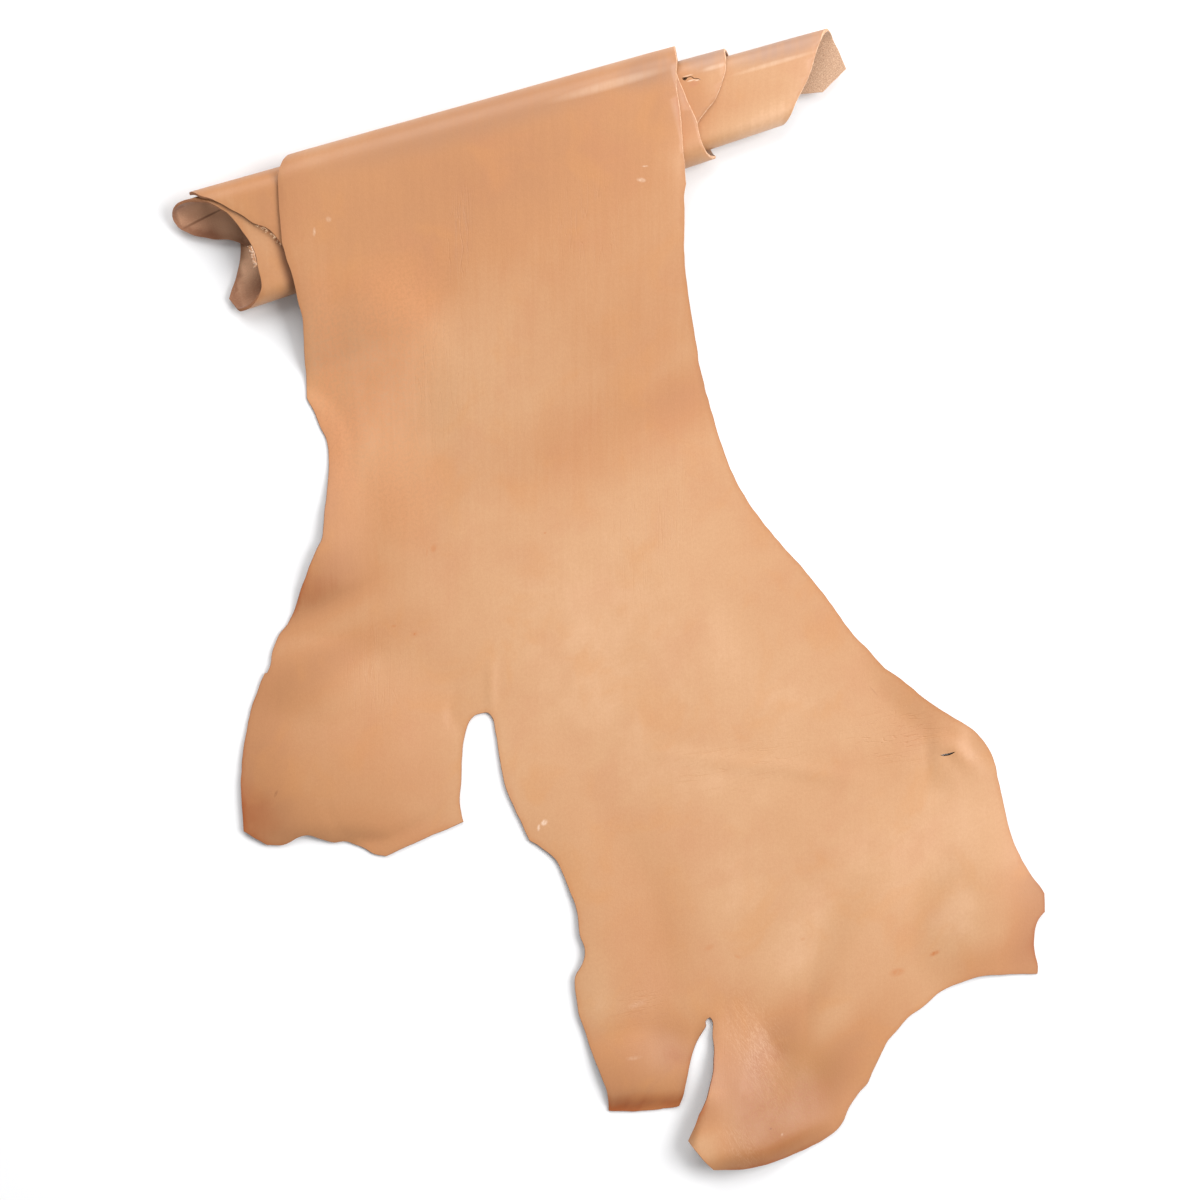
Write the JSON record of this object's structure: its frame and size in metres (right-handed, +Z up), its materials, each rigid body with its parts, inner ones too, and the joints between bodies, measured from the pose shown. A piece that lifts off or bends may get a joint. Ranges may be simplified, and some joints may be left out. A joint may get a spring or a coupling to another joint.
{
  "type": "rolled leather belly",
  "caption": "Vegetable-tanned leather belly with ragged lobes and slots, grain side up, its upper end loosely rolled under itself.",
  "frame": {"origin": "middle of the footprint, on the surface that the hide rests on", "axes": "+Z up from the surface through the grain side, +Y from the lobes towards the rolled end, +X to the right as the grain side is seen from above"},
  "size_m": [0.6994, 0.9088, 0.048],
  "materials": {
    "leather": "smooth natural grain with a soft sheen, suede-like flesh side and pale cut edges"
  },
  "bodies": {
    "root": {"leather_belly": "leather"}
  },
  "joints": []
}
